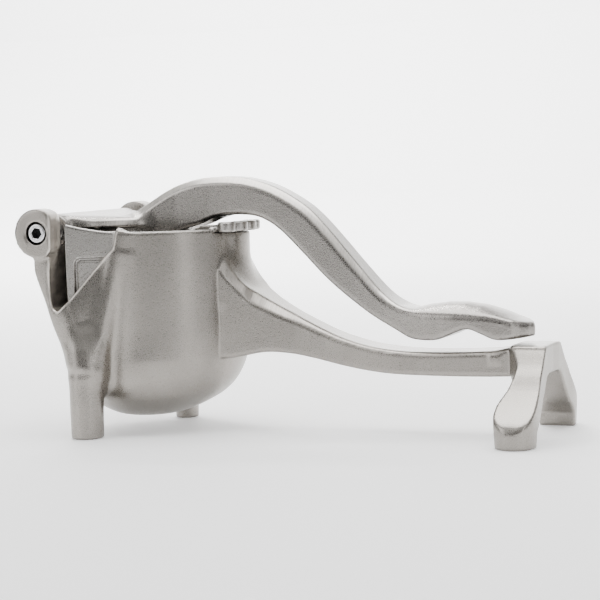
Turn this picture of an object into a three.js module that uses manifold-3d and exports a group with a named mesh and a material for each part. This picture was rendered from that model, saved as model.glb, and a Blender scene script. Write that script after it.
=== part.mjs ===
// Cast-aluminium hand-press fruit juicer, in millimetres.
// The hinge line is parallel to Y at x = 0 while the shapes are drawn; the
// handles run to +X, the spout opens to -Y. The group is centred at the end.
import * as THREE from 'three';
import { mergeVertices } from 'three/addons/utils/BufferGeometryUtils.js';
import { ConvexGeometry } from 'three/addons/geometries/ConvexGeometry.js';
import Module from 'manifold-3d';

const wasm = await Module();
wasm.setup();

// Hinge
const HINGE_Z = 88.2;
const LUG_R = 10.4;
const LUG_IN = 41;
const LUG_OUT = 50;
const BARREL_R = 7.4;
const BARREL_HALF = 34.5;
const CLEAR = 0.3;

// Screws, washers and sleeve
const SHANK_R = 2.5;
const HEAD_R = 4.25;
const HEAD_LEN = 5;
const WASHER_R = 4.75;
const WASHER_T = 1;
const BORE_R = 5.1;
const HEX_AF = 4;
const SLEEVE_R = 3.8;
const SPACER_R = 4.8;

// Pot
const POT_X = 36.5;
const POT_R = 36.6;
const POT_WALL = 2.6;
const RIM_Z = 87.4;
const BOSS_Z = 85.8;
const LEAN = 9.8;
const BASKET_R = POT_R - POT_WALL - 0.5;
const BASKET_WALL = 2;
const BASKET_FLOOR = 44;
const HOLE_R = 1.6;

// Presser under the arm
const PRESS_R = 23;
const PRESS_Z = 65;

// Feet
const FOOT_X = 17.6;
const FOOT_Y = 42.7;
const FOOT_R = 7.3;
const BACK_FOOT = [31, 28];
const BACK_FOOT_R = 5.2;

const MID_X = 101.8;

const v3 = (x, y, z) => new THREE.Vector3(x, y, z);

function toSolid(geometry) {
  let g = geometry.clone();
  g.deleteAttribute('normal');
  g.deleteAttribute('uv');
  g = mergeVertices(g, 1e-4);
  return new wasm.Manifold(new wasm.Mesh({
    numProp: 3,
    vertProperties: new Float32Array(g.attributes.position.array),
    triVerts: new Uint32Array(g.index.array),
  }));
}

function toGeometry(solid) {
  const m = solid.getMesh();
  const g = new THREE.BufferGeometry();
  g.setAttribute('position', new THREE.BufferAttribute(new Float32Array(m.vertProperties), 3));
  g.setIndex(new THREE.BufferAttribute(new Uint32Array(m.triVerts), 1));
  g.translate(-MID_X, 0, 0);
  g.computeVertexNormals();
  return g;
}

function unite(solids) {
  return solids.reduce((all, next) => all.add(next));
}

// Round bar along Y between y0 and y1.
function barY(r, y0, y1, x, z, seg = 48) {
  const g = new THREE.CylinderGeometry(r, r, y1 - y0, seg);
  g.translate(x, (y0 + y1) / 2, z);
  return toSolid(g);
}

// Round bar along Z between z0 and z1, with its own end radii.
function barZ(r0, r1, z0, z1, x, y, seg = 40) {
  const g = new THREE.CylinderGeometry(r1, r0, z1 - z0, seg);
  g.rotateX(Math.PI / 2);
  g.translate(x, y, (z0 + z1) / 2);
  return toSolid(g);
}

function box(x0, x1, y0, y1, z0, z1) {
  const g = new THREE.BoxGeometry(x1 - x0, y1 - y0, z1 - z0);
  g.translate((x0 + x1) / 2, (y0 + y1) / 2, (z0 + z1) / 2);
  return toSolid(g);
}

function hull(points) {
  return toSolid(new ConvexGeometry(points.map((p) => v3(...p))));
}

function ring(r, z, x, y, seg = 24) {
  const pts = [];
  for (let i = 0; i < seg; i += 1) {
    const a = (2 * Math.PI * i) / seg;
    pts.push([x + r * Math.cos(a), y + r * Math.sin(a), z]);
  }
  return pts;
}

// Turned shape about a vertical axis through (x, 0). With a lean, its lower end drifts that far
// towards the spout.
function turned(profile, x, seg = 72, lean = 0) {
  const g = new THREE.LatheGeometry(profile.map(([r, z]) => new THREE.Vector2(r, z)), seg);
  g.rotateX(Math.PI / 2);
  const p = g.attributes.position;
  for (let i = 0; i < p.count; i += 1) {
    const drift = lean * Math.max(0, (36 - p.getZ(i)) / 31) ** 1.2;
    p.setXY(i, p.getX(i) + x - 0.8 * drift, p.getY(i) - 0.6 * drift);
  }
  return toSolid(g);
}

function smooth(points, count) {
  const curve = new THREE.CatmullRomCurve3(points.map(([a, b]) => v3(a, b, 0)), false, 'centripetal');
  return curve.getPoints(count).map((p) => [p.x, p.y]);
}

// Slab whose outline lies in X-Z and which spans y = -half .. half.
function sideSlab(outline, half) {
  const shape = new THREE.Shape(outline.map(([x, z]) => new THREE.Vector2(x, z)));
  const g = new THREE.ExtrudeGeometry(shape, { depth: 2 * half, bevelEnabled: false, steps: 1 });
  g.rotateX(Math.PI / 2);
  g.translate(0, half, 0);
  return toSolid(g);
}

// Slab whose outline lies in X-Y, from z = 0 up to top. Half widths are mirrored about y = 0.
function planSlab(halves, top) {
  const side = smooth(halves, 28);
  const outline = side.concat(side.map(([x, w]) => [x, -w]).reverse());
  const shape = new THREE.Shape(outline.map(([x, y]) => new THREE.Vector2(x, y)));
  return toSolid(new THREE.ExtrudeGeometry(shape, { depth: top, bevelEnabled: false, steps: 1 }));
}

function band(top, bottom, n) {
  return smooth(top, n).concat(smooth(bottom, n));
}

// ---- body casting -------------------------------------------------------

function potShell() {
  const outer = turned([
    [0, 5.2], [7, 5.4], [14, 6.3], [20.4, 9], [26.4, 12.6], [31, 16.6], [34.4, 22.2], [36.2, 30],
    [POT_R, 38], [POT_R, RIM_Z], [0, RIM_Z],
  ], POT_X, 72, LEAN);
  const back = hull([
    [-2, -40, 77], [6, -40, 77], [-2, 40, 77], [6, 40, 77], [2, -40, 55], [2, 40, 55],
    [14, -24, 22], [14, 18, 22], [37, -34, 77], [37, 34, 77], [30, -24, 16], [30, 12, 16],
  ]);
  return outer.add(back);
}

function potHollow() {
  const r = POT_R - POT_WALL;
  return turned([
    [0, 8.2], [7, 8.4], [13, 9.4], [18.6, 11.8], [24, 15.2], [28.4, 19.4], [31.6, 25], [33.2, 31],
    [r, 38], [r, 110], [0, 110],
  ], POT_X, 72, LEAN);
}

// Beak that leads juice from the pot to the lip beside the near post.
function spoutShell() {
  return hull([
    [31, -36, RIM_Z], [31, -20, RIM_Z], [3, -43, 83], [1, -30, 76],
    [4, -49.4, 53], [11, -49.4, 53], [18, -46.5, 46], [22.5, -44.5, 38.5], [25.5, -42, 33.5],
    [13, -44, 28.5], [19, -41, 23], [23, -39, 23], [31, -33, 34], [31, -28, 22], [6, -24, 40],
  ]);
}

function spoutHollow() {
  return hull([
    [29.5, -33.6, 110], [29.5, -20, 110], [6.5, -40.7, 110], [12, -20, 110],
    [7.5, -46.6, 55.5], [10.5, -46.6, 55.5], [16.5, -43.6, 48], [20.5, -41.4, 41], [23, -39, 36],
    [14, -38, 34], [26, -30, 34], [26, -20, 30], [12, -20, 50],
  ]);
}

function spoutMouth() {
  const outline = [
    [5.4, 110], [5.4, 80], [4.6, 66], [6, 56.5], [7.6, 54.6], [9.8, 56],
    [16.2, 63.6], [26.4, 77.2], [31, 85],
    [31, 110],
  ];
  return sideSlab(outline, 80).intersect(box(-20, 60, -80, -30, 0, 110));
}

// Where a post starts, under its lug.
function lugRoot(side) {
  const corners = [[-2.4, 41], [3.4, 41], [-2.4, 50], [3.4, 50]];
  return corners.map(([x, y]) => [x, y * side]);
}

// The near post ends in a foot under the spout.
function nearPost() {
  const root = lugRoot(-1);
  const neck = ring(FOOT_R, 31, FOOT_X - 1.7, 0.3 - FOOT_Y);
  return hull(root.map(([x, y]) => [x, y, 78]).concat(neck))
    .add(hull(neck.concat(ring(FOOT_R, 0, FOOT_X, -FOOT_Y))))
    .add(hull(root.flatMap(([x, y]) => [[x, y, 70], [x, y, HINGE_Z]])));
}

// The far post runs into the pot's wall.
function farPost() {
  const root = lugRoot(1);
  const tail = [[9, 41, 46], [22, 40, 40], [14, 22, 26], [28, 28, 24], [26, 32, 60], [12, 26, 77]];
  return hull(root.map(([x, y]) => [x, y, 78]).concat(tail))
    .add(hull(root.flatMap(([x, y]) => [[x, y, 70], [x, y, HINGE_Z]])));
}

// Short foot under the far side of the pot.
function backFoot() {
  const [x, y] = BACK_FOOT;
  return hull(ring(BACK_FOOT_R, 0, x, y).concat(ring(BACK_FOOT_R + 2.4, 26, x - 0.6, y - 3.6)));
}

function lug(side) {
  const inner = Math.min(LUG_IN * side, LUG_OUT * side);
  const outer = Math.max(LUG_IN * side, LUG_OUT * side);
  return barY(LUG_R, inner, outer, 0, HINGE_Z, 56);
}

function lugBore(side) {
  const mid = (LUG_IN + LUG_OUT) / 2;
  const through = barY(SHANK_R + CLEAR, side * mid - 7, side * mid + 7, 0, HINGE_Z, 32);
  const seat = LUG_OUT - HEAD_LEN - WASHER_T - 0.9;
  const y0 = Math.min(side * seat, side * (LUG_OUT + 3));
  const y1 = Math.max(side * seat, side * (LUG_OUT + 3));
  return through.add(barY(BORE_R, y0, y1, 0, HINGE_Z, 48));
}

function lowerHandle() {
  const top = [
    [52, BOSS_Z], [73.6, BOSS_Z], [74.6, 78], [76.4, 70.6], [80, 63.5], [87, 57.6], [95, 52.8], [107, 46.6],
    [120, 40.9], [134, 37], [150, 35.2], [168, 35], [188, 35.9], [196.5, 37.6], [211.4, 38.3],
  ];
  const bottom = [
    [212, 31], [206, 27], [196.6, 25.4], [176, 25.1], [149.4, 25.4], [135, 26.5], [121, 28.8],
    [107, 32], [95, 34], [86, 34.3], [77, 32.5], [52, 34],
  ];
  const plan = [
    [50, 18], [68, 18], [77, 14.5], [87, 10], [100, 8], [114, 7.6], [130, 8.6], [146, 10],
    [170, 10.4], [190, 10.4], [214, 10.4],
  ];
  return sideSlab(band(top, bottom, 30), 24).intersect(planSlab(plan, 90));
}

function saddleBoss() {
  return hull(ring(14, BOSS_Z, 62.5, 0).concat(ring(14, 64, 60.5, 0)));
}

// Gap in the rim where the basket's tab lies on the saddle.
function tabSeat() {
  return box(55, 90, -17.4, 17.4, BOSS_Z, 110);
}

// Cross outline of the stand in Y-Z, swept along X, cut to the rounded plan of its two legs.
function stand() {
  const outer = [[11.6, 38.4], [13.7, 36], [17.6, 31.5], [21.5, 27.6], [26.6, 22],
    [32.9, 16.3], [37.2, 12.9],
    [41, 9.5], [42.8, 7], [42.8, 0]];
  const inner = [[31, 0], [30.4, 6], [27.4, 9], [22, 13.4], [16, 19.6], [11.4, 24.6], [8, 26.6]];
  const right = outer.concat(inner);
  const outline = right.concat(right.map(([y, z]) => [-y, z]).reverse());
  const shape = new THREE.Shape(outline.map(([y, z]) => new THREE.Vector2(y, z)));
  const g = new THREE.ExtrudeGeometry(shape, { depth: 40, bevelEnabled: false, steps: 1 });
  g.rotateX(Math.PI / 2);
  g.rotateZ(Math.PI / 2);
  g.translate(190, 0, 0);
  return toSolid(g).intersect(standPlan());
}

function standPlan() {
  const edge = smooth([
    [196.2, 0], [196.4, 10], [198.9, 14], [201.2, 18.4], [200, 24.9], [196.9, 32], [197.1, 37.9],
    [201.1, 41.8], [205, 42.7], [210, 41.4], [213, 37.4], [214, 30], [212.6, 18], [211.6, 0],
  ], 40);
  const outline = edge.concat(edge.slice(1, -1).map(([x, y]) => [x, -y]).reverse());
  const shape = new THREE.Shape(outline.map(([x, y]) => new THREE.Vector2(x, y)));
  return toSolid(new THREE.ExtrudeGeometry(shape, { depth: 60, bevelEnabled: false, steps: 1 }));
}

function bodyCasting() {
  const shell = unite([
    potShell(), spoutShell(), nearPost(), farPost(), backFoot(), lug(-1), lug(1),
    lowerHandle(), saddleBoss(), stand(),
  ]);
  const cuts = unite([
    potHollow(), spoutHollow(), spoutMouth(), lugBore(-1), lugBore(1), tabSeat(),
    barY(BARREL_R + 1, -LUG_IN, LUG_IN, 0, HINGE_Z),
  ]);
  return shell.subtract(cuts);
}

// ---- strainer basket ----------------------------------------------------

function basketHoles() {
  const holes = [];
  [[6, 6], [12, 12], [18, 18], [24, 22]].forEach(([r, count]) => {
    for (let i = 0; i < count; i += 1) {
      const a = (2 * Math.PI * i) / count;
      const x = POT_X + r * Math.cos(a);
      if (x > 17) {
        holes.push(barZ(HOLE_R, HOLE_R, BASKET_FLOOR - 8, BASKET_FLOOR + 12, x, r * Math.sin(a), 10));
      }
    }
  });
  return unite(holes);
}

function basketTab() {
  const low = BOSS_Z + CLEAR;
  const plate = hull([
    [62, -15, low], [62, 15, low], [75, -13, low], [75, 13, low],
    [62, -15, RIM_Z + 0.6], [62, 15, RIM_Z + 0.6], [75, -13, RIM_Z + 1], [75, 13, RIM_Z + 1],
  ]);
  const bumps = [-20, -6.7, 6.7, 20].map((deg) => {
    const a = THREE.MathUtils.degToRad(deg);
    return barZ(3.9, 3.7, low, 90.6, POT_X + 38.2 * Math.cos(a), 38.2 * Math.sin(a), 24);
  });
  return plate.add(unite(bumps));
}

// Flat shield that stands behind the spout's mouth.
function basketShield() {
  return hull([
    [26, -33.2, 58], [26, -31, 58], [7.4, -39.1, 58], [7.4, -37.1, 58],
    [27, -32.6, 87], [27, -30.4, 87], [5.3, -39.9, 92.6], [5.3, -37.9, 92.6],
  ]);
}

function strainerBasket() {
  const r = BASKET_R;
  const outer = turned([
    [0, BASKET_FLOOR - 2.4], [16, BASKET_FLOOR - 2.4], [26, BASKET_FLOOR - 1], [31.5, BASKET_FLOOR + 5],
    [r, BASKET_FLOOR + 12], [r, RIM_Z + 0.5], [0, RIM_Z + 0.5],
  ], POT_X);
  const inner = turned([
    [0, BASKET_FLOOR], [16, BASKET_FLOOR], [25, BASKET_FLOOR + 1.4], [29.4, BASKET_FLOOR + 6],
    [r - BASKET_WALL, BASKET_FLOOR + 13], [r - BASKET_WALL, 110], [0, 110],
  ], POT_X);
  const front = box(11, 90, -60, 60, 0, 120);
  const hollow = inner.intersect(box(13, 90, -60, 60, 0, 120));
  const shell = outer.intersect(front).add(basketShield()).add(basketTab());
  return shell.subtract(hollow).subtract(basketHoles());
}

// ---- press arm ----------------------------------------------------------

function armBar() {
  const top = [
    [14, 90], [22, 92.6], [31, 98.2], [42, 104.6], [50, 107.6], [59, 109.4], [71, 109.8], [81, 108.5],
    [92, 104.8], [103, 98.7], [110, 93.2], [118.5, 84.2], [129, 72], [139.5, 60.4], [147, 54.8],
    [155, 52], [166, 51.2], [186.8, 50.4], [197, 48.4], [205.4, 46.4],
  ];
  const bottom = [
    [205.9, 41.8], [194.4, 40.6], [189.3, 40.8], [183.8, 43.2], [178.3, 45.1], [173.1, 43.3],
    [165.8, 40.5], [159.9, 40], [153.3, 40.6], [147.7, 43.5], [135.8, 50.1], [125.3, 57.6],
    [114.9, 66.3], [103.5, 78], [95, 86.2], [87.8, 91], [81, 93], [71.4, 93.3], [63.7, 91.9],
    [57, 89.2], [50, 87.6], [44, 85.6], [36, 84], [14, 84],
  ];
  const plan = [
    [10, 12], [24, 9], [40, 8], [110, 8], [140, 8.2], [155, 10], [170, 12.2], [186, 12.4], [206, 10.4],
  ];
  return sideSlab(band(top, bottom, 48), 20).intersect(planSlab(plan, 140));
}

function armPaddleCrown() {
  const g = new THREE.SphereGeometry(1, 28, 16);
  g.scale(25, 9.5, 6);
  g.rotateY(THREE.MathUtils.degToRad(7));
  g.translate(176, 0, 49.6);
  return toSolid(g);
}

function armPlate() {
  const plate = hull([
    [0, -33.5, 95.5], [0, 33.5, 95.5], [4, -33.5, 89], [4, 33.5, 89], [14, -29, 92.4], [14, 29, 92.4],
    [15, -28.6, 88.8], [15, 28.6, 88.8], [34, -8.4, 93], [34, 8.4, 93], [36, -8.4, 88.8], [36, 8.4, 88.8],
  ]);
  const skirt = hull([
    [15.4, -22, 92.2], [15.4, 22, 92.2], [15.4, -22, 85], [15.4, 22, 85], [36, -8.4, 92.8], [36, 8.4, 92.8],
    [36, -8.4, 84], [36, 8.4, 84],
  ]);
  return plate.add(skirt);
}

function presser() {
  return turned([
    [0, PRESS_Z], [10, PRESS_Z + 0.8], [18, PRESS_Z + 4], [PRESS_R - 0.6, PRESS_Z + 9],
    [PRESS_R, PRESS_Z + 12],
    [PRESS_R, 83.6], [PRESS_R - 1.4, 85], [0, 85],
  ], 37);
}

function pressArm() {
  const body = unite([
    barY(BARREL_R, -BARREL_HALF, BARREL_HALF, 0, HINGE_Z), armPlate(), armBar(), armPaddleCrown(), presser(),
  ]);
  return body.subtract(barY(SLEEVE_R + CLEAR, -60, 60, 0, HINGE_Z, 40));
}

// ---- hinge hardware -----------------------------------------------------

function pivotSleeve() {
  const end = LUG_IN - CLEAR;
  const rod = barY(SLEEVE_R, -end, end, 0, HINGE_Z, 40);
  const bores = [-1, 1].map((s) => {
    const a = s * (end + 1);
    const b = s * (end - 16);
    return barY(SHANK_R + CLEAR, Math.min(a, b), Math.max(a, b), 0, HINGE_Z, 32);
  });
  return rod.subtract(unite(bores));
}

function hexSocket(side) {
  const g = new THREE.CylinderGeometry(HEX_AF / Math.sqrt(3), HEX_AF / Math.sqrt(3), 5, 6);
  g.translate(0, side * (LUG_OUT - 0.5 - 0.2), HINGE_Z);
  return toSolid(g);
}

function pivotScrew(side) {
  const face = LUG_OUT - 0.6;
  const under = face - HEAD_LEN;
  const tip = LUG_IN - 14;
  const span = (a, b) => [Math.min(side * a, side * b), Math.max(side * a, side * b)];
  const head = barY(HEAD_R, ...span(under, face), 0, HINGE_Z, 40);
  const shank = barY(SHANK_R, ...span(tip, under), 0, HINGE_Z, 32);
  return head.add(shank).subtract(hexSocket(side));
}

function headWasher(side) {
  const top = LUG_OUT - 0.6 - HEAD_LEN - CLEAR / 2;
  const low = top - WASHER_T + CLEAR;
  const span = [Math.min(side * top, side * low), Math.max(side * top, side * low)];
  const ringBody = barY(WASHER_R, ...span, 0, HINGE_Z, 40);
  return ringBody.subtract(barY(SHANK_R + CLEAR, span[0] - 1, span[1] + 1, 0, HINGE_Z, 32));
}

function spacer(side) {
  const low = BARREL_HALF + CLEAR;
  const top = LUG_IN - CLEAR;
  const span = [Math.min(side * top, side * low), Math.max(side * top, side * low)];
  return barY(SPACER_R, ...span, 0, HINGE_Z, 40)
    .subtract(barY(SLEEVE_R + CLEAR, span[0] - 1, span[1] + 1, 0, HINGE_Z, 40));
}

// ---- assembly -----------------------------------------------------------

const LOOKS = {
  cast: { color: 0xb4b0aa, roughness: 0.5, metalness: 0.9 },
  castArm: { color: 0xb8b5b0, roughness: 0.45, metalness: 0.9 },
  basket: { color: 0xb2afab, roughness: 0.5, metalness: 0.9 },
  steel: { color: 0xc9c9cb, roughness: 0.22, metalness: 1 },
  black: { color: 0x151515, roughness: 0.6, metalness: 0 },
};

const group = new THREE.Group();

function place(name, solid, look) {
  const mesh = new THREE.Mesh(toGeometry(solid), new THREE.MeshStandardMaterial(LOOKS[look]));
  mesh.name = name;
  group.add(mesh);
}

place('body_casting', bodyCasting(), 'cast');
place('strainer_basket', strainerBasket(), 'basket');
place('press_arm', pressArm(), 'castArm');
place('pivot_sleeve', pivotSleeve(), 'steel');
[['near', -1], ['far', 1]].forEach(([tag, side]) => {
  place(`pivot_screw_${tag}`, pivotScrew(side), 'steel');
  place(`head_washer_${tag}`, headWasher(side), 'black');
  place(`hinge_spacer_${tag}`, spacer(side), 'steel');
});

export default group;
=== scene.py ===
"""Hand-press fruit juicer: three aluminium castings and the hinge that joins them.

Each piece is a signed distance field in millimetres, turned into a mesh. Field
coordinates start at the hinge: x = 0 and y = 0 on the hinge's middle, z = 0 on
the floor, +X towards the handle's end, -Y towards the spout's mouth.
"""
import math
import bmesh
import bpy
import numpy as np
from mathutils import Matrix, Vector

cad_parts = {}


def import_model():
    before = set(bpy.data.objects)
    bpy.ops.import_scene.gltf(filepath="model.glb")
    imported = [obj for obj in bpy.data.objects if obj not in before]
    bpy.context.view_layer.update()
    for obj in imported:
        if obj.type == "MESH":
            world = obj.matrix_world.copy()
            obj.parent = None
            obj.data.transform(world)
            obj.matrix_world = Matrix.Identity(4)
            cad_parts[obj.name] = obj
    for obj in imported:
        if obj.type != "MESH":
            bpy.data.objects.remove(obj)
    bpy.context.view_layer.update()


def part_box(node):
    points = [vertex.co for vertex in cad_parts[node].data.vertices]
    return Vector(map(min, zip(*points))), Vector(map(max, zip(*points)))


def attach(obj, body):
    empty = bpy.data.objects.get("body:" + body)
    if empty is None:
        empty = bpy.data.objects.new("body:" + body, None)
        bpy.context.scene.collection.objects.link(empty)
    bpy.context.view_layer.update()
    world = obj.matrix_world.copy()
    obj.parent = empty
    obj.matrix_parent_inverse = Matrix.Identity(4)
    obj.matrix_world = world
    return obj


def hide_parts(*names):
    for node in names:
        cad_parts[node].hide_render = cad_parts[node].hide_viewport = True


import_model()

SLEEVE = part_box("pivot_sleeve")
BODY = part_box("body_casting")
ORIGIN = Vector(((SLEEVE[0].x + SLEEVE[1].x) / 2, (SLEEVE[0].y + SLEEVE[1].y) / 2, BODY[0].z))
HINGE_Z = ((SLEEVE[0].z + SLEEVE[1].z) / 2 - ORIGIN.z) * 1000
STEP = 1.0

CELLS_ROUND = 3          # empty grid cells kept outside a field's box
FAR = 50.0               # distance in mm that an empty field starts from
HOLD = 0.06              # pull of a mesh point towards the middle of its cell
MAX_SHIFT = 0.7          # furthest a mesh point moves from there, in grid steps
LEAN_TOP, LEAN_SPAN = 46, 41      # the pot's lean starts at this height and is full this far below
LEAN_POWER = 1.8
LEAN_X, LEAN_Y = 0.8, 0.6         # direction of the lean, towards the spout


# ---- distance fields ----------------------------------------------------

def smooth_min(a, b, k):
    """Union of two distances with a fillet about k wide."""
    if k <= 0:
        return np.minimum(a, b)
    h = np.maximum(k - np.abs(a - b), 0) / k
    return np.minimum(a, b) - h * h * k * 0.25


def smooth_max(a, b, k):
    return -smooth_min(-a, -b, k)


class Field:
    """Distances in mm on a regular grid, negative inside the metal."""

    def __init__(self, low, high, step):
        self.step = step
        self.box = np.array(low, float), np.array(high, float)
        self.low = np.array(low, float) - CELLS_ROUND * step
        self.count = np.ceil((np.array(high) + CELLS_ROUND * step - self.low) / step).astype(int) + 1
        self.d = np.full(self.count, FAR, np.float32)

    def window(self, low, high):
        """Part of the grid between two corners, with its x, y and z."""
        a = np.clip(np.floor((np.array(low) - self.low) / self.step).astype(int), 0, self.count)
        b = np.clip(np.ceil((np.array(high) - self.low) / self.step).astype(int) + 1, 0, self.count)
        axes = [np.float32(self.low[i] + self.step * np.arange(a[i], b[i])) for i in range(3)]
        cut = tuple(slice(a[i], b[i]) for i in range(3))
        return cut, axes[0][:, None, None], axes[1][None, :, None], axes[2][None, None, :]

    def add(self, low, high, shape, blend=0.0):
        """Joins a shape inside the window, with a fillet as wide as blend."""
        cut, x, y, z = self.window(low, high)
        self.d[cut] = smooth_min(self.d[cut], shape(x, y, z), blend)

    def cut(self, low, high, shape, blend=0.0):
        """Takes a shape away inside the window, with its edge eased over blend."""
        cut, x, y, z = self.window(low, high)
        self.d[cut] = smooth_max(self.d[cut], -shape(x, y, z), blend)

    def sample(self, p):
        """Distance and its slope at each point, by trilinear weights."""
        q = (p - self.low) / self.step
        i = np.clip(np.floor(q).astype(int), 0, self.count - 2)
        f = q - i
        value = np.zeros(len(p))
        slope = np.zeros((len(p), 3))
        for corner in np.ndindex(2, 2, 2):
            c = np.array(corner)
            v = self.d[tuple((i + c).T)]
            w = np.where(c, f, 1 - f)
            sign = np.where(c, 1.0, -1.0)
            value += v * w.prod(1)
            slope[:, 0] += v * sign[0] * w[:, 1] * w[:, 2]
            slope[:, 1] += v * sign[1] * w[:, 0] * w[:, 2]
            slope[:, 2] += v * sign[2] * w[:, 0] * w[:, 1]
        return value, slope / self.step

    def surface(self):
        """Dual surface: one vertex in each cell the surface crosses, one quad per crossed edge."""
        d, n = self.d, self.count
        cells = n - 1
        strides = np.array([cells[1] * cells[2], cells[2], 1])
        quads, marks, planes = [], [], []
        for axis in range(3):
            u, v = [k for k in range(3) if k != axis]
            head = [slice(None)] * 3
            tail = [slice(None)] * 3
            head[axis], tail[axis] = slice(0, -1), slice(1, None)
            a, b = d[tuple(head)], d[tuple(tail)]
            where = np.argwhere((a < 0) != (b < 0))
            keep = np.ones(len(where), bool)
            for k in (u, v):
                keep &= (where[:, k] > 0) & (where[:, k] < cells[k])
            where = where[keep]
            va, vb = a[tuple(where.T)], b[tuple(where.T)]
            point = where.astype(float)
            point[:, axis] += va / (va - vb)
            point = point * self.step + self.low
            _, slope = self.sample(point)
            normal = slope / np.maximum(np.linalg.norm(slope, axis=1), 1e-6)[:, None]
            corners = []
            for du, dv in ((0, 0), (-1, 0), (-1, -1), (0, -1)):
                cell = where.copy()
                cell[:, u] += du
                cell[:, v] += dv
                corners.append(cell @ strides)
                marks.append(corners[-1])
                planes.append(np.hstack([point, normal]))
            quad = np.stack(corners, 1)
            flip = (va < 0) == (axis == 1)
            quad[flip] = quad[flip][:, ::-1]
            quads.append(quad)
        used, slot = np.unique(np.concatenate(marks), return_inverse=True)
        number = np.full(int(cells.prod()), -1)
        number[used] = np.arange(len(used))
        points = self.meeting_points(slot.ravel(), np.concatenate(planes), len(used))
        return points, number[np.concatenate(quads)]

    def meeting_points(self, slot, planes, size):
        """The point of each cell where its tangent planes meet, held near their middle."""
        point, normal = planes[:, :3], planes[:, 3:]

        def gather(values):
            return np.bincount(slot, weights=values, minlength=size)
        count = gather(np.ones(len(slot)))
        middle = np.stack([gather(point[:, k]) for k in range(3)], 1) / count[:, None]
        reach = ((point - middle[slot]) * normal).sum(1)
        matrix = np.zeros((size, 3, 3))
        right = np.zeros((size, 3))
        for i in range(3):
            right[:, i] = gather(normal[:, i] * reach)
            for j in range(3):
                matrix[:, i, j] = gather(normal[:, i] * normal[:, j])
        matrix += np.eye(3) * (HOLD * count)[:, None, None]
        shift = np.linalg.solve(matrix, right[:, :, None])[:, :, 0]
        met = middle + np.clip(shift, -MAX_SHIFT * self.step, MAX_SHIFT * self.step)
        return np.clip(met, *self.box)


def outline_distance(u, v, points):
    """Signed distance to a closed outline, negative inside."""
    best, inside = None, False
    for (u0, v0), (u1, v1) in zip(points, points[1:] + points[:1]):
        eu, ev = u1 - u0, v1 - v0
        t = np.clip(((u - u0) * eu + (v - v0) * ev) / max(eu * eu + ev * ev, 1e-9), 0, 1)
        d = (u - u0 - eu * t) ** 2 + (v - v0 - ev * t) ** 2
        best = d if best is None else np.minimum(best, d)
        if ev:
            inside = inside ^ (((v0 <= v) != (v1 <= v)) & (u < u0 + (v - v0) * eu / ev))
    return np.sqrt(best) * np.where(inside, -1, 1)


def curve(points, count):
    """Smooth line through the points, with equal steps on each span."""
    p = np.array(points, float)
    p = np.vstack([2 * p[0] - p[1], p, 2 * p[-1] - p[-2]])
    out = []
    for k in range(1, len(p) - 2):
        for t in np.linspace(0, 1, count, endpoint=False):
            a, b, c, d = p[k - 1:k + 3]
            out.append(0.5 * (2 * b + (c - a) * t + (2 * a - 5 * b + 4 * c - d) * t ** 2
                              + (3 * b - a - 3 * c + d) * t ** 3))
    return [tuple(q) for q in out + [p[-2]]]


def round_rod(a, b, ra, rb):
    """Rod with round ends and its own radius at each end."""
    a, b = np.array(a, float), np.array(b, float)
    e = b - a

    def shape(x, y, z):
        t = np.clip(((x - a[0]) * e[0] + (y - a[1]) * e[1] + (z - a[2]) * e[2]) / (e @ e), 0, 1)
        gap = np.sqrt((x - a[0] - e[0] * t) ** 2 + (y - a[1] - e[1] * t) ** 2
                      + (z - a[2] - e[2] * t) ** 2)
        return gap - (ra + (rb - ra) * t)
    return shape


def edge_round(p, q, r):
    """Meeting of two faces, given their distances, with an edge of radius r."""
    return (np.minimum(np.maximum(p, q) + r, 0)
            + np.sqrt(np.maximum(p + r, 0) ** 2 + np.maximum(q + r, 0) ** 2) - r)


def disc_y(cx, cz, radius, y0, y1, r=0.4):
    """Disc or rod along Y, its edges rounded to r."""
    def shape(x, y, z):
        return edge_round(np.sqrt((x - cx) ** 2 + (z - cz) ** 2) - radius,
                          np.abs(y - (y0 + y1) / 2) - (y1 - y0) / 2, r)
    return shape


def disc_z(cx, cy, radius, z0, z1, r=0.4):
    """Disc or post along Z, its edges rounded to r."""
    def shape(x, y, z):
        return edge_round(np.sqrt((x - cx) ** 2 + (y - cy) ** 2) - radius,
                          np.abs(z - (z0 + z1) / 2) - (z1 - z0) / 2, r)
    return shape


def turned(profile, cx, cy=0.0, lean=0.0):
    """Turned body; with a lean, its lower end drifts that far towards the spout."""
    def shape(x, y, z):
        drift = lean * np.maximum((LEAN_TOP - z) / LEAN_SPAN, 0) ** LEAN_POWER
        out = np.sqrt((x - cx + LEAN_X * drift) ** 2 + (y - cy + LEAN_Y * drift) ** 2)
        return outline_distance(out, z, profile)
    return shape


def convex(points, soft):
    """Convex body round the points; soft rounds its edges."""
    mesh = bmesh.new()
    for p in points:
        mesh.verts.new(p)
    bmesh.ops.convex_hull(mesh, input=mesh.verts)
    middle = sum((Vector(p) for p in points), Vector()) / len(points)
    planes = {}
    for face in mesh.faces:
        face.normal_update()
        n = face.normal.copy()
        if n.dot(face.verts[0].co - middle) < 0:
            n.negate()
        if face.calc_area() > 1e-6:
            key = tuple(round(c, 2) for c in n) + (round(n.dot(face.verts[0].co), 1),)
            planes[key] = (n, n.dot(face.verts[0].co))
    mesh.free()

    def shape(x, y, z):
        d = None
        for n, w in planes.values():
            e = n.x * x + n.y * y + n.z * z - w
            d = e if d is None else smooth_max(d, e, soft)
        return d
    return shape


def under(line):
    """Outline of everything below a line that runs in x."""
    return line + [(line[-1][0], -400.0), (line[0][0], -400.0)]


def over(line):
    """Outline of everything above a line that runs in x."""
    return line + [(line[-1][0], 500.0), (line[0][0], 500.0)]


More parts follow.
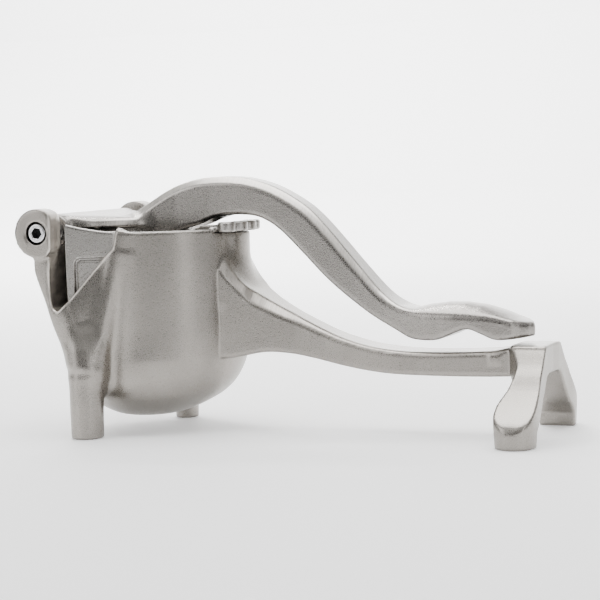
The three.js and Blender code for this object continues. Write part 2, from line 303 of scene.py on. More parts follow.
def bar(top, bottom, half, top_chamfer, low_chamfer, soft, crown=None):
    """Bar drawn by its top and bottom lines in x-z and its half width along x."""
    def shape(x, y, z):
        reach = lambda table: np.interp(x, *zip(*table)).astype(np.float32)
        upper = outline_distance(x, z, under(top)).astype(np.float32)
        lower = outline_distance(x, z, over(bottom)).astype(np.float32)
        width = reach(half)
        side = np.abs(y) - width
        if crown:
            upper = upper - reach(crown) * np.maximum(1 - (y / width) ** 2, 0)
        d = smooth_max(smooth_max(upper, lower, soft), side, soft)
        d = smooth_max(d, (upper + side + reach(top_chamfer)) * 0.7071, soft)
        return smooth_max(d, (lower + side + reach(low_chamfer)) * 0.7071, soft)
    return shape


# ---- pieces -------------------------------------------------------------

def make_piece(name, field, polish_and_highlight=None):
    """Meshes a field, sets it in the row frame and marks where the metal is polished and brightened
    with a painted highlight.
    """
    points, quads = field.surface()
    mesh = bpy.data.meshes.new(name)
    placed = points / 1000 + np.array(ORIGIN)
    mesh.vertices.add(len(points))
    mesh.vertices.foreach_set("co", placed.astype(np.float32).ravel())
    mesh.loops.add(quads.size)
    mesh.loops.foreach_set("vertex_index", quads.astype(np.int32).ravel())
    mesh.polygons.add(len(quads))
    mesh.polygons.foreach_set("loop_start", np.arange(0, quads.size, 4, dtype=np.int32))
    mesh.polygons.foreach_set("use_smooth", np.ones(len(quads), bool))
    mesh.update(calc_edges=True)
    if polish_and_highlight:
        _, slope = field.sample(points)
        normal = slope / np.maximum(np.linalg.norm(slope, axis=1), 1e-6)[:, None]
        # mask of polish and painted highlight
        mask = mesh.attributes.new("polish_and_highlight", "FLOAT", "POINT")
        mask.data.foreach_set("value", polish_and_highlight(points.T, normal.T).astype(np.float32))
    piece = bpy.data.objects.new(name, mesh)
    bpy.context.scene.collection.objects.link(piece)
    return piece


def ramp(value, start, end):
    """0 at start, 1 at end, held outside."""
    return np.clip((value - start) / (end - start), 0, 1)


# ---- body casting: sizes in mm ------------------------------------------

POT_X = 36.5
RIM_Z = 87.4
BOSS_Z = 85.8
LEAN = 9.8
LUG_IN, LUG_OUT, LUG_R = 41.0, 50.0, 10.4
LUG_MID = (LUG_IN + LUG_OUT) / 2
BORE_R, WELL_R = 2.9, 5.0
FOOT = (17.6, -42.7)
BACK_FOOT = (31, 27.4)

# Half profiles of the pot, radius and height.
POT_OUTER = [(0, 6), (7, 6.2), (14, 7.2), (20.4, 9.5), (26.4, 12.9), (31, 16.6), (34.4, 22.2),
             (36.2, 30), (36.6, 38), (36.6, 60), (36.6, RIM_Z)]
POT_INNER = [(0, 8.6), (7, 8.8), (13, 9.8), (18.6, 11.8), (24, 15.2), (28.4, 19.4), (31.6, 25),
             (33.2, 31), (34, 38), (34, 60), (34, RIM_Z)]

# Corners of the beak, outside and inside, and the mouth's outline in x-z.
SPOUT_OUTER = [
    (31, -36, RIM_Z), (31, -20, RIM_Z), (3, -42, RIM_Z), (2, -30, 76), (4, -49.2, 53.5),
    (10.6, -49.2, 53.5), (17, -47, 46.5), (21.5, -45, 39), (24.5, -42, 34), (13, -44, 29),
    (18.7, -41, 23.3), (22.6, -39, 23), (31, -33, 34), (31, -28, 22), (6, -24, 40),
]
SPOUT_INNER = [
    (29.5, -33.8, 110), (29.5, -20, 110), (6.4, -40.9, 110), (12, -20, 110), (7.4, -46.8, 55.6),
    (10.4, -46.8, 55.6), (16, -44.4, 49), (20, -42.2, 42), (22.6, -39.4, 37), (14, -39, 34),
    (26, -30, 34), (26, -20, 30), (12, -20, 50),
]
MOUTH = [(6.7, 120), (6.7, 85), (5.6, 78), (4.8, 67), (5.6, 57.6), (7.6, 55), (10, 56.4),
         (16.2, 63.8), (26.4, 77.4), (31, 85), (31.4, 120)]

# Lower handle along x: top and bottom lines, half width and chamfers.
LOWER_TOP = [(52, 85), (60, 83.4), (66, 79), (69.7, 74.6), (74.5, 68.6), (79.7, 63), (84, 59.7),
             (92.7, 54.3), (107, 46.9), (120, 41.2), (134, 37.3), (150, 35.4), (168, 35.2), (188, 36),
             (196.5, 37.5), (211.4, 38.2)]
LOWER_BOTTOM = [(52, 33), (70, 32), (77, 32.6), (86, 34.2), (95, 34), (107, 32), (121, 28.9),
                (135, 26.6), (149.4, 25.5), (176, 25.2), (196.6, 25.6), (206, 27), (212, 31)]
LOWER_HALF = [(50, 16.4), (66, 16.4), (72, 16.2), (79, 14.4), (88, 10.8), (100, 7.9), (114, 7.6),
              (130, 8.6), (146, 9.8), (170, 10.4), (214, 10.4)]
LOWER_CHAMFER = [(60, 3), (80, 2.9), (82.6, 3.9), (95, 3.2), (104, 2.2), (125, 1.3), (214, 1)]
LOW_EDGE = [(0, 0.8), (214, 0.8)]

# Stand: cross outline in y-z, and plan in x-y.
STAND_TOP, STAND_ARCH = 38.5, 26.6
STAND_OUTER = [(0, STAND_TOP), (11, 38.3), (12.6, 37.2), (17.6, 31.5), (21.5, 27.6), (26.6, 22),
               (32.9, 16.3), (37.2, 12.9), (41, 9.5), (42.8, 6.4), (42.8, 0)]
STAND_INNER = [(31, 0), (30.4, 6), (27.4, 9), (22, 13.4), (16, 19.6), (11.4, 24.6),
               (8, STAND_ARCH), (0, STAND_ARCH)]
STAND_PLAN = [(196.2, 0), (196.4, 10), (198.9, 14), (201.2, 18.4), (200, 24.9), (196.9, 32),
              (197.1, 37.9), (201.1, 41.8), (205, 42.7), (210, 41.4), (212.8, 37.4), (213.4, 30),
              (212.4, 18), (211.6, 0)]
SOLE_DRAFT, SOLE_Z = 0.05, 9
FAR_SKEW, SKEW_FROM = 0.05, 8


def shell_parts(f):
    """Pot, saddle, lower handle and the outside of the beak."""
    f.add((-10, -46, 3), (75, 46, 92), turned(curve(POT_OUTER, 4) + [(0, RIM_Z)], POT_X, 0, LEAN))
    back = [(-1.4, 38, 76), (6, 40, 76), (3, 38, 54), (14, 20, 22), (37, 34, 76), (30, 13, 16),
            (-1.4, -38, 76), (6, -40, 76), (3, -38, 54), (14, -24, 22), (37, -34, 76), (30, -24, 16)]
    f.add((-4, -42, 12), (40, 42, 80), convex(back, 2), 5)
    beam = bar(curve(LOWER_TOP, 4), curve(LOWER_BOTTOM, 4), LOWER_HALF, LOWER_CHAMFER, LOW_EDGE, 0.6)
    boss = disc_z(60.9, 0, 15, 56, BOSS_Z, 0.6)
    f.add((60, -20, 20), (214, 20, 90),
          lambda x, y, z: smooth_min(beam(x, y, z), boss(x, y, z), 6), 0.8)
    beak = convex(SPOUT_OUTER, 3.5)
    f.add((-2, -52, 18), (34, -16, 92), lambda x, y, z: beak(x, y, z) - 0.7, 4)
    ridge = round_rod((32, -34.8, 86), (22.5, -42.2, 30), 1.1, 2)
    f.add((16, -50, 22), (38, -28, 92), ridge, 7)
    for y in (-10.2, 10.2):
        corners = [(x, y + dy, z) for x in (187.4, 191.8) for dy in (-0.7, 0.7) for z in (31, 34.4)]
        pad = convex(corners, 0.4)
        f.add((185, y - 2, 29), (194, y + 2, 36), pad, 0.6)


def post_parts(f):
    """Lugs, the posts under them, the near foot and the short back foot."""
    for side in (-1, 1):
        root = [(x, side * y, z) for x in (-2.2, 3.4) for y in (41, 49.4) for z in (70, 84)]
        if side < 0:
            neck = 5.6
            tail = [(FOOT[0] - 2 + neck * math.cos(a), FOOT[1] + neck * math.sin(a), 33)
                    for a in np.arange(0, 6.2, 0.4)]
        else:
            tail = [(9, 41, 46), (22, 40, 40), (14, 22, 26), (28, 28, 24), (26, 32, 60), (12, 26, 77)]
        f.add((-12, min(side * 18, side * 52), 18), (34, max(side * 18, side * 52), 100),
              convex(root + tail, 1.4), 2.5)
        span = sorted((side * LUG_IN, side * LUG_OUT))
        lug = disc_y(0, HINGE_Z, LUG_R, *span, 0.9)
        f.add((-12, span[0] - 1, 70), (12, span[1] + 1, 100), lug, 1.5)
    heel = [(x, y, z) for x in (-1, 4.6) for y in (-49.9, -46) for z in (78.2, 88)]
    f.add((-4, -51, 76), (8, -44, 92), convex(heel, 0.5), 0.6)
    leg = [(0, 0), (6.2, 0), (7, 0.8), (7.2, 14), (7.2, 26), (5, 38), (2, 44), (0, 45)]
    f.add((-2, -52, 0), (40, -20, 56), turned(leg, *FOOT), 7)
    short = [(0, 0), (4.6, 0), (5.2, 0.6), (5.4, 8), (6.4, 20), (5, 26), (0, 30)]
    f.add((18, 16, 0), (44, 40, 32), turned(short, *BACK_FOOT), 3)


def stand_part(f):
    """Splayed stand: its cross outline met with its plan; its soles taper outwards."""
    across = curve(STAND_OUTER[:-1], 3) + STAND_OUTER[-1:] + STAND_INNER[:1] + curve(STAND_INNER[1:], 3)
    plan = curve(STAND_PLAN, 4)

    def shape(x, y, z):
        reach = np.abs(y)
        front = outline_distance(reach, z, across + [(-6, STAND_ARCH), (-6, STAND_TOP)])
        sole = SOLE_DRAFT * np.maximum(SOLE_Z - z, 0)
        x = x + FAR_SKEW * np.maximum(y - SKEW_FROM, 0)
        sides = outline_distance(x, reach, plan + [(211.6, -6), (196.2, -6)]) + sole
        return smooth_max(front + 0 * x, sides + 0 * z, 0.9)
    f.add((192, -46, 0), (216, 46, 42), shape, 0.8)


def body_field():
    f = Field((-10.4, -50, 0), (214, 50, 99), 0.8 * STEP)
    shell_parts(f)
    post_parts(f)
    stand_part(f)
    cut_body(f)
    return f


def cut_body(f):
    """Hollows of pot and beak, the mouth, room for the barrel, the tab's seat and the bores."""
    f.cut((-10, -46, 3), (75, 46, 100),
          turned(curve(POT_INNER, 4) + [(34, 120), (0, 120)], POT_X, 0, LEAN), 0.6)
    hollow = convex(SPOUT_INNER, 2)
    f.cut((2, -52, 24), (32, -16, 100), lambda x, y, z: hollow(x, y, z) + 0.8, 1.2)
    mouth = curve(MOUTH, 4)
    f.cut((2, -60, 48), (34, -31, 100), lambda x, y, z: outline_distance(x, z, mouth) + 0 * y, 1.2)
    keep = disc_y(0, HINGE_Z, 9.5, -45.2, -LUG_IN, 1.6)
    f.add((-12, -46, 76), (12, -40, 100), lambda x, y, z: smooth_max(keep(x, y, z), x - 7.2, 0.8), 0.5)
    f.cut((-12, -LUG_IN, 74), (12, LUG_IN, 100), disc_y(0, HINGE_Z, 8.4, -LUG_IN, LUG_IN, 0.2), 0.5)
    seat = convex([(x, y, z) for x in (55, 90) for y in (-17.4, 17.4) for z in (BOSS_Z, 120)], 0.5)
    f.cut((56, -19, 82), (76, 19, 100), seat, 0.5)
    for side in (-1, 1):
        middle = side * LUG_MID
        f.cut((-8, middle - 6, 80), (8, middle + 7, 97),
              disc_y(0, HINGE_Z, BORE_R, middle - 9, middle + 9, 0))
        well = sorted((side * 43.1, side * 56))
        f.cut((-8, well[0] - 1, 80), (8, well[1], 97), disc_y(0, HINGE_Z, WELL_R, *well, 0.2), 0.25)


# ---- press arm ----------------------------------------------------------

BARREL_R, BARREL_HALF, SLEEVE_BORE_R = 7.4, 34.5, 4.1

# Upper handle along x: top and bottom lines, half width, chamfer and the paddle's crown.
ARM_TOP = [(14, 90), (22, 92.8), (31, 98.4), (42, 104.8), (50, 107.8), (59, 109.5), (71, 109.7),
           (81, 108.4), (92, 104.8), (103, 98.7), (110, 93.2), (118.5, 84.2), (129, 72), (139.5, 60.4),
           (147, 54.9), (155, 52.2), (166, 51.2), (186.8, 50.4), (197, 48.5), (205.4, 46.4)]
ARM_BOTTOM = [(14, 84), (36, 84), (44, 85.6), (50, 87.6), (57, 89.4), (63.7, 92), (71.4, 93.3),
              (81, 93), (87.8, 91), (95, 86.2), (103.5, 78), (114.9, 66.3), (125.3, 57.6),
              (135.8, 50.1), (147.7, 43.5), (153.3, 40.8), (159.9, 40.1), (165.8, 40.6), (172.4, 43.2),
              (178.3, 45), (183.8, 43.2), (189.3, 40.9), (194.4, 40.6), (205.4, 41.8)]
ARM_HALF = [(10, 13), (20, 11.6), (32, 9.8), (46, 8.5), (62, 8), (100, 7.9), (128, 8), (142, 8.6),
            (152, 9.8), (162, 11.2), (172, 12.2), (184, 12.4), (192, 12), (197, 10.6), (200.5, 8.2),
            (202.6, 5.2), (203.7, 2), (204, 0.1)]
ARM_CHAMFER = [(10, 3), (60, 3), (100, 3), (120, 2.6), (138, 2.2), (150, 1.2), (170, 0.9), (206, 0.9)]
ARM_CROWN = [(148, 0), (154, 1.2), (160, 3.2), (168, 4.6), (176, 4.8), (184, 3.9), (192, 2.2),
             (198, 0.8), (206, 0)]
# Half profile of the presser, radius and height.
DISH = [(0, 65.2), (10, 66), (18, 69), (22, 73), (23, 77), (23, 83.4), (21.6, 84.8), (0, 85)]
DISH_X = 37


def both_sides(points):
    return points + [(x, -y, z) for x, y, z in points]


def arm_field():
    """Barrel, plate and skirt, upper handle and presser."""
    f = Field((-9.2, -BARREL_HALF, 39.5), (205.8, BARREL_HALF, 109.8), 0.8 * STEP)
    f.add((-10, -36, 78), (12, 36, 99), disc_y(0, HINGE_Z, BARREL_R, -BARREL_HALF, BARREL_HALF, 0.8))
    plate = [(0, 33.6, 95.5), (4, 33.6, 89), (14, 29, 92.4), (15, 28.6, 88.8), (34, 8, 93),
             (36, 8, 88.8)]
    f.add((-6, -36, 84), (42, 36, 102), convex(both_sides(plate), 1.2), 1.5)
    skirt = [(15.6, 21.5, 92), (15.6, 21.5, 85.4), (34, 8, 92.6), (36, 8, 85)]
    f.add((12, -24, 82), (40, 24, 96), convex(both_sides(skirt), 0.8), 1)
    handle = bar(curve(ARM_TOP, 4), curve(ARM_BOTTOM, 4), ARM_HALF, ARM_CHAMFER, [(0, 0.9), (206, 0.9)],
                 0.7, ARM_CROWN)
    f.add((14, -16, 38), (206, 16, 111), handle, 3)
    f.add((12, -25, 63), (62, 25, 92), turned(curve(DISH, 3), DISH_X), 2)
    f.cut((-5, -36, 82), (5, 36, 94), disc_y(0, HINGE_Z, SLEEVE_BORE_R, -40, 40, 0))
    return f


# ---- strainer basket ----------------------------------------------------

# Half profiles of the basket, radius and height.
BASKET_OUTER = [(0, 41.8), (14, 41.9), (24, 42.6), (30, 46), (32.8, 52), (33.4, 60), (33.4, 87.6),
                (0, 87.6)]
BASKET_INNER = [(0, 44), (14, 44.1), (23, 45), (28.2, 48.4), (30.8, 54), (31.4, 61), (31.4, 120),
                (0, 120)]
BASKET_IN_R = 31.4
BASKET_CUT_X = 11         # the basket's round wall stops here; the shield closes that side
HOLE_R = 1.3
HOLE_RINGS = ((0, 1), (5, 6), (10, 12), (15, 18), (20, 24), (25, 30))      # radius, count
TAB_R, BUMP_R, BUMP_TOP = 38.2, 3.8, 90.5
BUMP_ANGLES = (-0.349, -0.117, 0.117, 0.349)

# The shield's flat face: a point on it, its direction along the wall, and out of it.
SHIELD_AT = np.array((27.0, -32.6, 0.0))
SHIELD_ALONG = np.array((-0.949, -0.316, 0.0))
SHIELD_OUT = np.array((0.316, -0.949, 0.0))
SHIELD_OUTLINE = [(-2, 58), (20.4, 58), (22.8, 92.6), (21, 91.7), (13.5, 89.8), (6, 88.4), (0, 87.7),
                  (-3, 87.6)]
SHIELD_HALF = 1
FRAME_AT, FRAME_HALF, FRAME_CORNER = (3.2, 62.6), (10.5, 11.5), 2.0
GROOVE_HALF, GROOVE_DEPTH = 0.65, 1.3


def shield(x, y, z):
    """Flat wall behind the mouth, with a groove round a plain label field."""
    along = (x - SHIELD_AT[0]) * SHIELD_ALONG[0] + (y - SHIELD_AT[1]) * SHIELD_ALONG[1]
    out = (x - SHIELD_AT[0]) * SHIELD_OUT[0] + (y - SHIELD_AT[1]) * SHIELD_OUT[1]
    face = outline_distance(along, z, SHIELD_OUTLINE)
    wall = edge_round(face, np.abs(out + SHIELD_HALF) - SHIELD_HALF, 0.9)
    groove = edge_round(rounded_frame(along, z), np.abs(out) - GROOVE_DEPTH, 0)
    return smooth_max(wall, -groove, 0.1)


def rounded_frame(u, v):
    """Distance to the groove's line, a rectangle with rounded corners."""
    du, dv = np.abs(u - FRAME_AT[0]) - FRAME_HALF[0], np.abs(v - FRAME_AT[1]) - FRAME_HALF[1]
    ring = (np.sqrt(np.maximum(du, 0) ** 2 + np.maximum(dv, 0) ** 2)
            + np.minimum(np.maximum(du, dv), 0) - FRAME_CORNER)
    return np.abs(ring) - GROOVE_HALF


def basket_holes(x, y, z):
    """Rings of holes through the strainer's floor."""
    d = np.full((x.shape[0], y.shape[1], 1), FAR, np.float32)
    for radius, count in HOLE_RINGS:
        for k in range(count):
            a = 2 * math.pi * k / count
            u, v = x - POT_X - radius * math.cos(a), y - radius * math.sin(a)
            d = np.minimum(d, np.sqrt(u ** 2 + v ** 2) - HOLE_R)
    return d + 0 * z


def basket_field():
    """Round wall and floor, the shield, and the scalloped lift tab."""
    f = Field((8, -40, 41.5), (79, 34, 93), 0.5 * STEP)
    shell = ((2, -35, 40), (72, 35, 94))
    f.add(*shell, turned(BASKET_OUTER, POT_X))
    f.cut((2, -35, 40), (BASKET_CUT_X, 35, 94), lambda x, y, z: x - BASKET_CUT_X + 0 * y + 0 * z)
    f.add((4, -42, 56), (30, -28, 94), shield, 0.8)
    scoop = turned(BASKET_INNER, POT_X)
    f.cut(*shell, lambda x, y, z: smooth_max(scoop(x, y, z), BASKET_CUT_X + 2 - x, 1), 0.8)
    tab = [(62, 15, 86.2), (62, 15, 88.2), (75, 13, 86.2), (75, 13, 88.6), (70, 8, 90.4)]
    f.add((58, -17, 85), (79, 17, 93), convex(both_sides(tab), 0.6), 0.8)
    for angle in BUMP_ANGLES:
        cx, cy = POT_X + TAB_R * math.cos(angle), TAB_R * math.sin(angle)
        bump = disc_z(cx, cy, BUMP_R, 86.2, BUMP_TOP, 0.9)
        f.add((cx - 6, cy - 6, 85), (cx + 6, cy + 6, 93), bump, 0.5)
    f.cut((60, -30, 60), (72, 30, 95),
          lambda x, y, z: np.sqrt((x - POT_X) ** 2 + y ** 2) - BASKET_IN_R + 0 * z, 0.5)
    f.cut((10, -28, 40), (64, 28, 50), basket_holes, 0.4)
    return f


# ---- hinge hardware -----------------------------------------------------

HEAD_FACE, HEAD_NECK, SCREW_TIP = 49.4, 44.4, 27      # y of the screw's ends and neck
HEAD_R, SHANK_R = 4.0, 2.4
SOCKET_HALF, SOCKET_TURN, SOCKET_FLOOR = 2.2, 0.35, 45.6
# Rings round the hinge line: radius, hole, y from and to, edge and grid step.
WASHER = (4.85, 2.9, 43.4, 44.2, 0.15, 0.2)
SPACER = (4.8, 4.1, 34.8, 40.7, 0.2, 0.25)
SLEEVE_RING = (3.8, 2.8, -40.7, 40.7, 0.3, 0.35)


def screw_field(side):
    """Socket-head screw, its head in the lug's counterbore."""
    face, neck, tip = HEAD_FACE, HEAD_NECK, SCREW_TIP
    low, high = sorted((side * tip, side * face))
    f = Field((-4.2, low, HINGE_Z - 4.2), (4.2, high, HINGE_Z + 4.2), 0.2 * STEP)
    box = ((-5, low - 1, 80), (5, high + 1, 97))
    f.add(*box, disc_y(0, HINGE_Z, HEAD_R, *sorted((side * neck, side * face)), 0.5))
    f.add(*box, disc_y(0, HINGE_Z, SHANK_R, *sorted((side * tip, side * (neck + 1))), 0.3))

    def socket(x, y, z):
        turns = [SOCKET_TURN + k * math.pi / 3 for k in range(3)]
        across = [np.abs(x * math.cos(a) + (z - HINGE_Z) * math.sin(a)) - SOCKET_HALF for a in turns]
        hexagon = np.maximum(across[0], np.maximum(across[1], across[2]))
        return np.maximum(hexagon, side * (SOCKET_FLOOR * side - y))
    f.cut(*box, socket, 0.15)
    return f


def ring_field(radius, hole, y0, y1, r, step):
    """Ring or tube round the hinge line."""
    f = Field((-radius, y0, HINGE_Z - radius), (radius, y1, HINGE_Z + radius), step * STEP)
    box = ((-radius - 1, y0 - 1, HINGE_Z - radius - 1), (radius + 1, y1 + 1, HINGE_Z + radius + 1))
    f.add(*box, disc_y(0, HINGE_Z, radius, y0, y1, r))
    f.cut(*box, disc_y(0, HINGE_Z, hole, y0 - 2, y1 + 2, 0), 0.1)
    return f


def side_ring(side, radius, hole, y0, y1, r, step):
    return ring_field(radius, hole, *sorted((side * y0, side * y1)), r, step)


# ---- surfaces -----------------------------------------------------------

def node(tree, kind, links=None, **values):
    """New shader node; links gives each input a value or the socket that feeds it."""
    n = tree.nodes.new(kind)
    for key, value in values.items():
        setattr(n, key, value)
    for socket, source in (links or {}).items():
        if hasattr(source, "default_value"):
            tree.links.new(source, n.inputs[socket])
        else:
            n.inputs[socket].default_value = source
    return n


def cast_metal(name, tone, rough, grain):
    """Blasted cast aluminium: fine pits and speckle, brighter and smoother where the polished mask is
    1; that brighter base colour is a painted highlight.
    """
    material = bpy.data.materials.new(name)
    material.use_nodes = True
    tree = material.node_tree
    shader = tree.nodes["Principled BSDF"]
    place = node(tree, "ShaderNodeTexCoord").outputs["Object"]
    polish_and_highlight = node(tree, "ShaderNodeAttribute", attribute_name="polish_and_highlight").outputs["Fac"]
    speckle = node(tree, "ShaderNodeTexNoise", {"Vector": place, "Scale": 2400.0, "Detail": 2.0,
                                                "Roughness": 0.7}).outputs["Fac"]
    blotch = node(tree, "ShaderNodeTexNoise", {"Vector": place, "Scale": 60.0,
                                               "Detail": 4.0}).outputs["Fac"]
    pits = node(tree, "ShaderNodeTexVoronoi", {"Vector": place, "Scale": 1500.0}).outputs["Distance"]
    stretch = node(tree, "ShaderNodeMapping", {"Vector": place, "Scale": (2600.0, 160.0, 300.0)})
    lines = node(tree, "ShaderNodeTexNoise", {"Vector": stretch.outputs["Vector"], "Scale": 1.0,
                                              "Detail": 2.0}).outputs["Fac"]

    def between(fac, low, high):
        return node(tree, "ShaderNodeMapRange", {"Value": fac, "From Min": 0.3, "From Max": 0.7,
                                                 "To Min": low, "To Max": high}).outputs["Result"]

    def mixed(fac, a, b):
        return node(tree, "ShaderNodeMix", {0: fac, 2: a, 3: b}, data_type="FLOAT").outputs[0]

    shade = node(tree, "ShaderNodeMath",
                 {0: between(speckle, 0.86, 1.12), 1: between(blotch, 0.94, 1.05)},
                 operation="MULTIPLY").outputs[0]
    # Painted highlight: the polished mask doubles the base colour, with brushed lines.
    shade = mixed(polish_and_highlight, shade, between(lines, 1.7, 2.3))
    colour = node(tree, "ShaderNodeVectorMath", {0: tone, "Scale": shade}, operation="SCALE")
    tree.links.new(colour.outputs["Vector"], shader.inputs["Base Color"])
    gloss = mixed(polish_and_highlight, between(speckle, rough - 0.07, rough + 0.09), between(lines, 0.28, 0.4))
    tree.links.new(gloss, shader.inputs["Roughness"])
    relief = node(tree, "ShaderNodeMath", {0: speckle, 1: pits}, operation="ADD").outputs[0]
    strength = mixed(polish_and_highlight, grain, grain * 0.12)
    bump = node(tree, "ShaderNodeBump", {"Strength": strength, "Distance": 0.00009, "Height": relief})
    tree.links.new(bump.outputs["Normal"], shader.inputs["Normal"])
    shader.inputs["Metallic"].default_value = 1.0
    return material


def plain_metal(name, tone, rough, metallic=1.0):
    """Plated or moulded hardware, with a fine speckle in its gloss and surface."""
    material = bpy.data.materials.new(name)
    material.use_nodes = True
    tree = material.node_tree
    shader = tree.nodes["Principled BSDF"]
    place = node(tree, "ShaderNodeTexCoord").outputs["Object"]
    fine = node(tree, "ShaderNodeTexNoise", {"Vector": place, "Scale": 2200.0,
                                             "Detail": 2.0}).outputs["Fac"]
    level = node(tree, "ShaderNodeMapRange",
                 {"Value": fine, "To Min": rough * 0.8, "To Max": rough * 1.25})
    tree.links.new(level.outputs["Result"], shader.inputs["Roughness"])
    bump = node(tree, "ShaderNodeBump", {"Strength": 0.15, "Distance": 0.0001, "Height": fine})
    tree.links.new(bump.outputs["Normal"], shader.inputs["Normal"])
    shader.inputs["Base Color"].default_value = (*tone, 1)
    shader.inputs["Metallic"].default_value = metallic
    return material


# ---- assembly -----------------------------------------------------------

def body_polish_and_highlight(p, n):
    """Polished parts of the body, brightened as a painted highlight: the handle's upper bevels, the
    mouth's lip and, more weakly, the stand's upper faces lit from above.
    """
    x, y, z = p
    bevel = ramp(n[2], 0.25, 0.5) * ramp(np.abs(n[1]), 0.35, 0.5)
    bevel = bevel * ramp(x, 70, 74) * ramp(194 - x, 0, 4)
    # polish and painted highlight: a thin bright line along the mouth's lip
    lip = outline_distance(x, z, curve(MOUTH, 4))
    edge = ramp(1.1 - np.abs(lip), 0, 0.5) * ramp(-31 - y, 0, 1) * ramp(z, 52, 54)
    # painted highlight: the stand's faces turned upwards, where the overhead light falls
    legs = 0.2 * ramp(x, 196, 198) * ramp(np.abs(y), 11, 13) * ramp(n[2], 0.3, 0.5)
    return np.maximum(np.maximum(bevel, edge), legs)


def arm_polish_and_highlight(p, n):
    """Polished parts of the arm, brightened as a painted highlight: the chamfers along the handle's
    top.
    """
    x, y, z = p
    chamfer = ramp(np.abs(n[1]), 0.35, 0.55) * ramp(1 - np.abs(n[1]), 0.05, 0.2)
    above = np.interp(x, *zip(*ARM_TOP))
    return chamfer * ramp(z, above - 6, above - 4) * ramp(x, 18, 24) * ramp(158 - x, 0, 12)


CAST_BODY = cast_metal("cast_body", (0.3, 0.281, 0.257), 0.29, 0.42)
CAST_ARM = cast_metal("cast_arm", (0.29, 0.274, 0.255), 0.26, 0.4)
CAST_BASKET = cast_metal("cast_basket", (0.36, 0.345, 0.325), 0.29, 0.4)
STEEL = plain_metal("bright_steel", (0.74, 0.74, 0.76), 0.2)
# Black of the head washers; the same black also paints the shade deep in the screw sockets.
BLACK_WASHER_AND_SHADE = plain_metal("black_washer_and_socket_shade", (0.012, 0.012, 0.012), 0.5, 0.0)


def finish_piece(name, field, cad_node, body, material, polish_and_highlight=None):
    piece = make_piece(name, field, polish_and_highlight)
    piece.data.materials.append(material)
    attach(piece, body)
    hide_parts(cad_node)
    return piece


def paint_socket_shade(piece):
    """Paints shade into the socket: its floor and lower walls get the black material, standing in for
    the shade deep in the hex hole.
    """
    piece.data.materials.append(BLACK_WASHER_AND_SHADE)
    for face in piece.data.polygons:
        x, y, z = (face.center - ORIGIN) * 1000
        if math.hypot(x, z - HINGE_Z) < SOCKET_HALF + 0.5 and 45 < abs(y) < HEAD_FACE - 1:
            # painted shade: faces deep in the socket turn black
            face.material_index = 1


finish_piece("body_casting_skin", body_field(), "body_casting", "body", CAST_BODY,
             body_polish_and_highlight)
finish_piece("press_arm_skin", arm_field(), "press_arm", "arm", CAST_ARM, arm_polish_and_highlight)
finish_piece("basket_skin", basket_field(), "strainer_basket", "body", CAST_BASKET)
for tag, side in (("near", -1), ("far", 1)):
    screw = finish_piece("screw_" + tag, screw_field(side), "pivot_screw_" + tag, "body",
                         STEEL)
    # black painted shade in the hex socket
    paint_socket_shade(screw)
    finish_piece("washer_" + tag, side_ring(side, *WASHER), "head_washer_" + tag, "body", BLACK_WASHER_AND_SHADE)
    finish_piece("spacer_" + tag, side_ring(side, *SPACER), "hinge_spacer_" + tag, "body", STEEL)
finish_piece("sleeve", ring_field(*SLEEVE_RING), "pivot_sleeve", "body", STEEL)


# ---- stage --------------------------------------------------------------

FLOOR_HALF = 3
FLOOR_LINE = [(-1.6, 0), (1.2, 0), (1.7, 0.06), (2.0, 0.3), (2.1, 0.8), (2.1, 2.4)]      # y and z in m
FOCUS = (0, 0, 0.05)
VIEW_AZIMUTH, VIEW_ELEVATION, VIEW_ROLL = math.radians(22.8), math.radians(4.4), math.radians(-1.7)
VIEW_DISTANCE = 0.860
VIEW_TARGET = ORIGIN + Vector((0.100, 0, 0.056))
SENSOR = 36
FOCAL_PIXELS, FRAME_PIXELS = 2000, 600


def backdrop():
    """Pale floor that curves up into a wall behind the object."""
    mesh = bpy.data.meshes.new("floor")
    points = [(x, y, z) for y, z in FLOOR_LINE for x in (-FLOOR_HALF, FLOOR_HALF)]
    strips = [(2 * k, 2 * k + 1, 2 * k + 3, 2 * k + 2) for k in range(len(FLOOR_LINE) - 1)]
    mesh.from_pydata(points, [], strips)
    floor = bpy.data.objects.new("floor", mesh)
    bpy.context.scene.collection.objects.link(floor)
    material = bpy.data.materials.new("pale_floor")
    material.use_nodes = True
    shader = material.node_tree.nodes["Principled BSDF"]
    shader.inputs["Base Color"].default_value = (0.86, 0.86, 0.86, 1)
    shader.inputs["Roughness"].default_value = 0.7
    shader.inputs["Emission Color"].default_value = (1, 1, 1, 1)
    shader.inputs["Emission Strength"].default_value = 0.36
    mesh.materials.append(material)


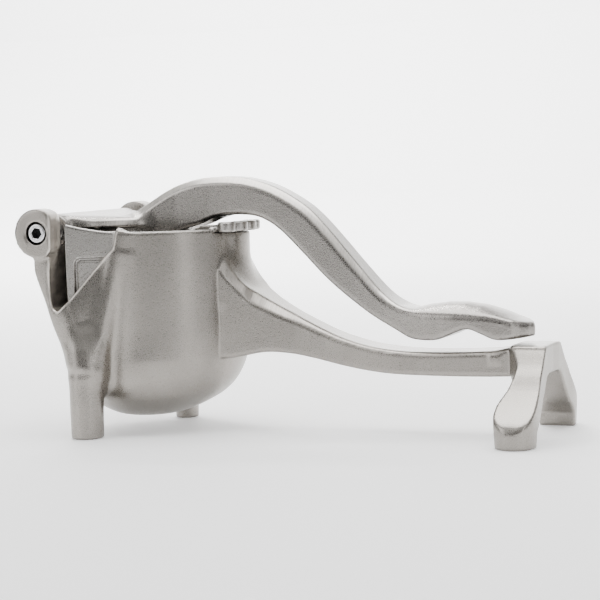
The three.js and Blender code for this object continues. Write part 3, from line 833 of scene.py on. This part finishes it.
def soft_lamp(name, at, aim, width, height, power):
    """Rectangular area light, sizes in m and power in W."""
    data = bpy.data.lights.new(name, "AREA")
    data.shape = "RECTANGLE"
    data.size, data.size_y, data.energy = width, height, power
    lamp = bpy.data.objects.new(name, data)
    lamp.location = at
    lamp.rotation_euler = (Vector(aim) - Vector(at)).to_track_quat("-Z", "Y").to_euler()
    bpy.context.scene.collection.objects.link(lamp)


def camera():
    level = math.cos(VIEW_ELEVATION)
    back = Vector((math.sin(VIEW_AZIMUTH) * level, -math.cos(VIEW_AZIMUTH) * level,
                   math.sin(VIEW_ELEVATION)))
    data = bpy.data.cameras.new("camera")
    data.sensor_width = SENSOR
    data.lens = SENSOR * FOCAL_PIXELS / FRAME_PIXELS
    data.clip_start = 0.05
    eye = bpy.data.objects.new("camera", data)
    turn = (-back).to_track_quat("-Z", "Y").to_matrix().to_4x4() @ Matrix.Rotation(VIEW_ROLL, 4, "Z")
    eye.matrix_world = Matrix.Translation(VIEW_TARGET + back * VIEW_DISTANCE) @ turn
    bpy.context.scene.collection.objects.link(eye)
    bpy.context.scene.camera = eye


def world():
    """Dim surround, brighter overhead."""
    sky = bpy.data.worlds.new("studio")
    sky.use_nodes = True
    tree = sky.node_tree
    up = node(tree, "ShaderNodeSeparateXYZ",
              {0: node(tree, "ShaderNodeTexCoord").outputs["Generated"]})
    level = node(tree, "ShaderNodeMapRange",
                 {"Value": up.outputs["Z"], "From Min": 0.05, "From Max": 0.5,
                  "To Min": 0.015, "To Max": 0.75}, interpolation_type="SMOOTHSTEP")
    tree.links.new(level.outputs["Result"], tree.nodes["Background"].inputs[1])
    tree.nodes["Background"].inputs[0].default_value = (1, 1, 1, 1)
    bpy.context.scene.world = sky


backdrop()
world()
soft_lamp("left_box", (-0.8, -0.85, 0.5), FOCUS, 0.6, 0.9, 4.8)
soft_lamp("right_strip", (0.95, -0.8, 0.4), FOCUS, 0.16, 0.9, 2.2)
soft_lamp("overhead", (0, 0.1, 1.2), FOCUS, 1.3, 0.9, 22)
soft_lamp("wall_wash", (-0.85, 0.9, 1.3), (-0.8, 2.05, 0.25), 1.1, 0.4, 110)
camera()
